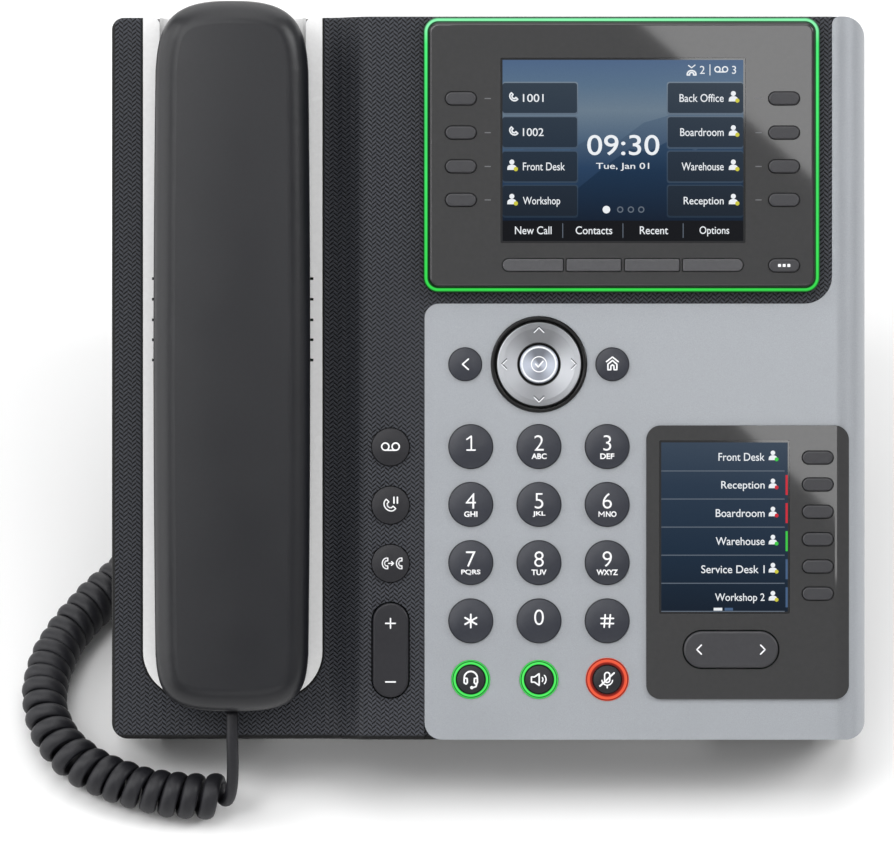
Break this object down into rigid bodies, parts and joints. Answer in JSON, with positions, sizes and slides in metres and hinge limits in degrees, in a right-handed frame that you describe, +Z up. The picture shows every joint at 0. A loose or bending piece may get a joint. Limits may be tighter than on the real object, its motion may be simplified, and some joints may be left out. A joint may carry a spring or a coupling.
{
  "type": "desk ip phone",
  "caption": "Desk phone with a cradled handset on a coiled cord, a tilted display, dial and line keys, a small side display and a rear stand.",
  "frame": {"origin": "centre of the footprint, on the desk under the feet", "axes": "+X to the user's right, +Y away from the user, +Z up"},
  "size_m": [0.2466, 0.1962, 0.1721],
  "materials": {
    "dark_texture": "fine woven relief, matte",
    "dark_plastic": "spark-eroded matte",
    "silver": "fine metallic silver paint",
    "bezel": "satin",
    "light_guide": "translucent, lit",
    "screen": "gloss over a lit display",
    "white": "satin gloss white",
    "board": "solder mask",
    "steel": "zinc plated",
    "rubber": "matte",
    "cord": "satin vinyl",
    "handset": "satin",
    "capsule": "matte",
    "nav_metal": "spun",
    "key": "satin",
    "bezel_key": "satin"
  },
  "bodies": {
    "root": {"front_housing": "dark_texture", "rear_housing": "dark_plastic", "faceplate": "silver", "bezels": "bezel", "light_guides": "light_guide", "display_panels": "screen", "handset_cradle": "white", "electronics": "board", "screws": "steel", "desk_stand": "dark_plastic", "rubber_feet": "rubber", "cord_coil": "cord", "cord_leads": "cord"},
    "handset": {"handset_back_shell": "handset", "handset_front_shell": "handset", "handset_capsules": "capsule"},
    "hook_lever": {"hook_lever": "white"},
    "nav_ring": {"nav_ring": "nav_metal"},
    "volume_rocker": {"volume_rocker": "key"},
    "page_rocker": {"page_rocker": "bezel_key"},
    "key_1": {"key_1": "key"},
    "key_2": {"key_2": "key"},
    "key_3": {"key_3": "key"},
    "key_4": {"key_4": "key"},
    "key_5": {"key_5": "key"},
    "key_6": {"key_6": "key"},
    "key_7": {"key_7": "key"},
    "key_8": {"key_8": "key"},
    "key_9": {"key_9": "key"},
    "key_star": {"key_star": "key"},
    "key_0": {"key_0": "key"},
    "key_hash": {"key_hash": "key"},
    "key_headset": {"key_headset": "key"},
    "key_speaker": {"key_speaker": "key"},
    "key_mute": {"key_mute": "key"},
    "key_back": {"key_back": "key"},
    "key_home": {"key_home": "key"},
    "key_select": {"key_select": "key"},
    "key_voicemail": {"key_voicemail": "key"},
    "key_hold": {"key_hold": "key"},
    "key_transfer": {"key_transfer": "key"},
    "line_key_left_1": {"line_key_left_1": "bezel_key"},
    "line_key_left_2": {"line_key_left_2": "bezel_key"},
    "line_key_left_3": {"line_key_left_3": "bezel_key"},
    "line_key_left_4": {"line_key_left_4": "bezel_key"},
    "line_key_right_1": {"line_key_right_1": "bezel_key"},
    "line_key_right_2": {"line_key_right_2": "bezel_key"},
    "line_key_right_3": {"line_key_right_3": "bezel_key"},
    "line_key_right_4": {"line_key_right_4": "bezel_key"},
    "key_more": {"key_more": "bezel_key"},
    "soft_key_1": {"soft_key_1": "bezel_key"},
    "soft_key_2": {"soft_key_2": "bezel_key"},
    "soft_key_3": {"soft_key_3": "bezel_key"},
    "soft_key_4": {"soft_key_4": "bezel_key"},
    "side_key_1": {"side_key_1": "bezel_key"},
    "side_key_2": {"side_key_2": "bezel_key"},
    "side_key_3": {"side_key_3": "bezel_key"},
    "side_key_4": {"side_key_4": "bezel_key"},
    "side_key_5": {"side_key_5": "bezel_key"},
    "side_key_6": {"side_key_6": "bezel_key"}
  },
  "joints": [
    {"name": "handset_lift", "type": "slide", "parent": "root", "child": "handset", "axis": [0, -0.6428, 0.766], "range_m": [0, 0.08]},
    {"name": "hook_lever_tilt", "type": "hinge", "parent": "root", "child": "hook_lever", "pos_m": [-0.07425, 0.05867, 0.12299], "axis": [1, 0, 0], "range_deg": [0, 8.5]},
    {"name": "nav_ring_tilt", "type": "hinge", "parent": "root", "child": "nav_ring", "pos_m": [0.0147, -0.00683, 0.09557], "axis": [1, 0, 0], "range_deg": [-2.5, 2.5], "stiffness_Nm_per_rad": 0.05},
    {"name": "volume_rocker_tilt", "type": "hinge", "parent": "root", "child": "volume_rocker", "pos_m": [-0.0284, -0.07015, 0.04191], "axis": [1, 0, 0], "range_deg": [-2.5, 2.5], "stiffness_Nm_per_rad": 0.05},
    {"name": "page_rocker_tilt", "type": "hinge", "parent": "root", "child": "page_rocker", "pos_m": [0.0704, -0.07097, 0.04319], "axis": [0, 0.766, 0.6428], "range_deg": [-2.5, 2.5], "stiffness_Nm_per_rad": 0.05},
    {"name": "key_1_press", "type": "slide", "parent": "root", "child": "key_1", "axis": [0, 0.6428, -0.766], "range_m": [0, 0.0008], "stiffness_N_per_m": 500, "springref_m": -0.001},
    {"name": "key_2_press", "type": "slide", "parent": "root", "child": "key_2", "axis": [0, 0.6428, -0.766], "range_m": [0, 0.0008], "stiffness_N_per_m": 500, "springref_m": -0.001},
    {"name": "key_3_press", "type": "slide", "parent": "root", "child": "key_3", "axis": [0, 0.6428, -0.766], "range_m": [0, 0.0008], "stiffness_N_per_m": 500, "springref_m": -0.001},
    {"name": "key_4_press", "type": "slide", "parent": "root", "child": "key_4", "axis": [0, 0.6428, -0.766], "range_m": [0, 0.0008], "stiffness_N_per_m": 500, "springref_m": -0.001},
    {"name": "key_5_press", "type": "slide", "parent": "root", "child": "key_5", "axis": [0, 0.6428, -0.766], "range_m": [0, 0.0008], "stiffness_N_per_m": 500, "springref_m": -0.001},
    {"name": "key_6_press", "type": "slide", "parent": "root", "child": "key_6", "axis": [0, 0.6428, -0.766], "range_m": [0, 0.0008], "stiffness_N_per_m": 500, "springref_m": -0.001},
    {"name": "key_7_press", "type": "slide", "parent": "root", "child": "key_7", "axis": [0, 0.6428, -0.766], "range_m": [0, 0.0008], "stiffness_N_per_m": 500, "springref_m": -0.001},
    {"name": "key_8_press", "type": "slide", "parent": "root", "child": "key_8", "axis": [0, 0.6428, -0.766], "range_m": [0, 0.0008], "stiffness_N_per_m": 500, "springref_m": -0.001},
    {"name": "key_9_press", "type": "slide", "parent": "root", "child": "key_9", "axis": [0, 0.6428, -0.766], "range_m": [0, 0.0008], "stiffness_N_per_m": 500, "springref_m": -0.001},
    {"name": "key_star_press", "type": "slide", "parent": "root", "child": "key_star", "axis": [0, 0.6428, -0.766], "range_m": [0, 0.0008], "stiffness_N_per_m": 500, "springref_m": -0.001},
    {"name": "key_0_press", "type": "slide", "parent": "root", "child": "key_0", "axis": [0, 0.6428, -0.766], "range_m": [0, 0.0008], "stiffness_N_per_m": 500, "springref_m": -0.001},
    {"name": "key_hash_press", "type": "slide", "parent": "root", "child": "key_hash", "axis": [0, 0.6428, -0.766], "range_m": [0, 0.0008], "stiffness_N_per_m": 500, "springref_m": -0.001},
    {"name": "key_headset_press", "type": "slide", "parent": "root", "child": "key_headset", "axis": [0, 0.6428, -0.766], "range_m": [0, 0.0008], "stiffness_N_per_m": 500, "springref_m": -0.001},
    {"name": "key_speaker_press", "type": "slide", "parent": "root", "child": "key_speaker", "axis": [0, 0.6428, -0.766], "range_m": [0, 0.0008], "stiffness_N_per_m": 500, "springref_m": -0.001},
    {"name": "key_mute_press", "type": "slide", "parent": "root", "child": "key_mute", "axis": [0, 0.6428, -0.766], "range_m": [0, 0.0008], "stiffness_N_per_m": 500, "springref_m": -0.001},
    {"name": "key_back_press", "type": "slide", "parent": "root", "child": "key_back", "axis": [0, 0.6428, -0.766], "range_m": [0, 0.0008], "stiffness_N_per_m": 500, "springref_m": -0.001},
    {"name": "key_home_press", "type": "slide", "parent": "root", "child": "key_home", "axis": [0, 0.6428, -0.766], "range_m": [0, 0.0008], "stiffness_N_per_m": 500, "springref_m": -0.001},
    {"name": "key_select_press", "type": "slide", "parent": "root", "child": "key_select", "axis": [0, 0.6428, -0.766], "range_m": [0, 0.0006], "stiffness_N_per_m": 500, "springref_m": -0.001},
    {"name": "key_voicemail_press", "type": "slide", "parent": "root", "child": "key_voicemail", "axis": [0, 0.6428, -0.766], "range_m": [0, 0.0008], "stiffness_N_per_m": 500, "springref_m": -0.001},
    {"name": "key_hold_press", "type": "slide", "parent": "root", "child": "key_hold", "axis": [0, 0.6428, -0.766], "range_m": [0, 0.0008], "stiffness_N_per_m": 500, "springref_m": -0.001},
    {"name": "key_transfer_press", "type": "slide", "parent": "root", "child": "key_transfer", "axis": [0, 0.6428, -0.766], "range_m": [0, 0.0008], "stiffness_N_per_m": 500, "springref_m": -0.001},
    {"name": "line_key_left_1_press", "type": "slide", "parent": "root", "child": "line_key_left_1", "axis": [0, 0.6428, -0.766], "range_m": [0, 0.0008], "stiffness_N_per_m": 500, "springref_m": -0.001},
    {"name": "line_key_left_2_press", "type": "slide", "parent": "root", "child": "line_key_left_2", "axis": [0, 0.6428, -0.766], "range_m": [0, 0.0008], "stiffness_N_per_m": 500, "springref_m": -0.001},
    {"name": "line_key_left_3_press", "type": "slide", "parent": "root", "child": "line_key_left_3", "axis": [0, 0.6428, -0.766], "range_m": [0, 0.0008], "stiffness_N_per_m": 500, "springref_m": -0.001},
    {"name": "line_key_left_4_press", "type": "slide", "parent": "root", "child": "line_key_left_4", "axis": [0, 0.6428, -0.766], "range_m": [0, 0.0008], "stiffness_N_per_m": 500, "springref_m": -0.001},
    {"name": "line_key_right_1_press", "type": "slide", "parent": "root", "child": "line_key_right_1", "axis": [0, 0.6428, -0.766], "range_m": [0, 0.0008], "stiffness_N_per_m": 500, "springref_m": -0.001},
    {"name": "line_key_right_2_press", "type": "slide", "parent": "root", "child": "line_key_right_2", "axis": [0, 0.6428, -0.766], "range_m": [0, 0.0008], "stiffness_N_per_m": 500, "springref_m": -0.001},
    {"name": "line_key_right_3_press", "type": "slide", "parent": "root", "child": "line_key_right_3", "axis": [0, 0.6428, -0.766], "range_m": [0, 0.0008], "stiffness_N_per_m": 500, "springref_m": -0.001},
    {"name": "line_key_right_4_press", "type": "slide", "parent": "root", "child": "line_key_right_4", "axis": [0, 0.6428, -0.766], "range_m": [0, 0.0008], "stiffness_N_per_m": 500, "springref_m": -0.001},
    {"name": "key_more_press", "type": "slide", "parent": "root", "child": "key_more", "axis": [0, 0.6428, -0.766], "range_m": [0, 0.0008], "stiffness_N_per_m": 500, "springref_m": -0.001},
    {"name": "soft_key_1_press", "type": "slide", "parent": "root", "child": "soft_key_1", "axis": [0, 0.6428, -0.766], "range_m": [0, 0.0008], "stiffness_N_per_m": 500, "springref_m": -0.001},
    {"name": "soft_key_2_press", "type": "slide", "parent": "root", "child": "soft_key_2", "axis": [0, 0.6428, -0.766], "range_m": [0, 0.0008], "stiffness_N_per_m": 500, "springref_m": -0.001},
    {"name": "soft_key_3_press", "type": "slide", "parent": "root", "child": "soft_key_3", "axis": [0, 0.6428, -0.766], "range_m": [0, 0.0008], "stiffness_N_per_m": 500, "springref_m": -0.001},
    {"name": "soft_key_4_press", "type": "slide", "parent": "root", "child": "soft_key_4", "axis": [0, 0.6428, -0.766], "range_m": [0, 0.0008], "stiffness_N_per_m": 500, "springref_m": -0.001},
    {"name": "side_key_1_press", "type": "slide", "parent": "root", "child": "side_key_1", "axis": [0, 0.6428, -0.766], "range_m": [0, 0.0008], "stiffness_N_per_m": 500, "springref_m": -0.001},
    {"name": "side_key_2_press", "type": "slide", "parent": "root", "child": "side_key_2", "axis": [0, 0.6428, -0.766], "range_m": [0, 0.0008], "stiffness_N_per_m": 500, "springref_m": -0.001},
    {"name": "side_key_3_press", "type": "slide", "parent": "root", "child": "side_key_3", "axis": [0, 0.6428, -0.766], "range_m": [0, 0.0008], "stiffness_N_per_m": 500, "springref_m": -0.001},
    {"name": "side_key_4_press", "type": "slide", "parent": "root", "child": "side_key_4", "axis": [0, 0.6428, -0.766], "range_m": [0, 0.0008], "stiffness_N_per_m": 500, "springref_m": -0.001},
    {"name": "side_key_5_press", "type": "slide", "parent": "root", "child": "side_key_5", "axis": [0, 0.6428, -0.766], "range_m": [0, 0.0008], "stiffness_N_per_m": 500, "springref_m": -0.001},
    {"name": "side_key_6_press", "type": "slide", "parent": "root", "child": "side_key_6", "axis": [0, 0.6428, -0.766], "range_m": [0, 0.0008], "stiffness_N_per_m": 500, "springref_m": -0.001}
  ],
  "couplings": [
    {"joint": "hook_lever_tilt", "follows": "handset_lift", "rad_per_m": 1.7453}
  ]
}
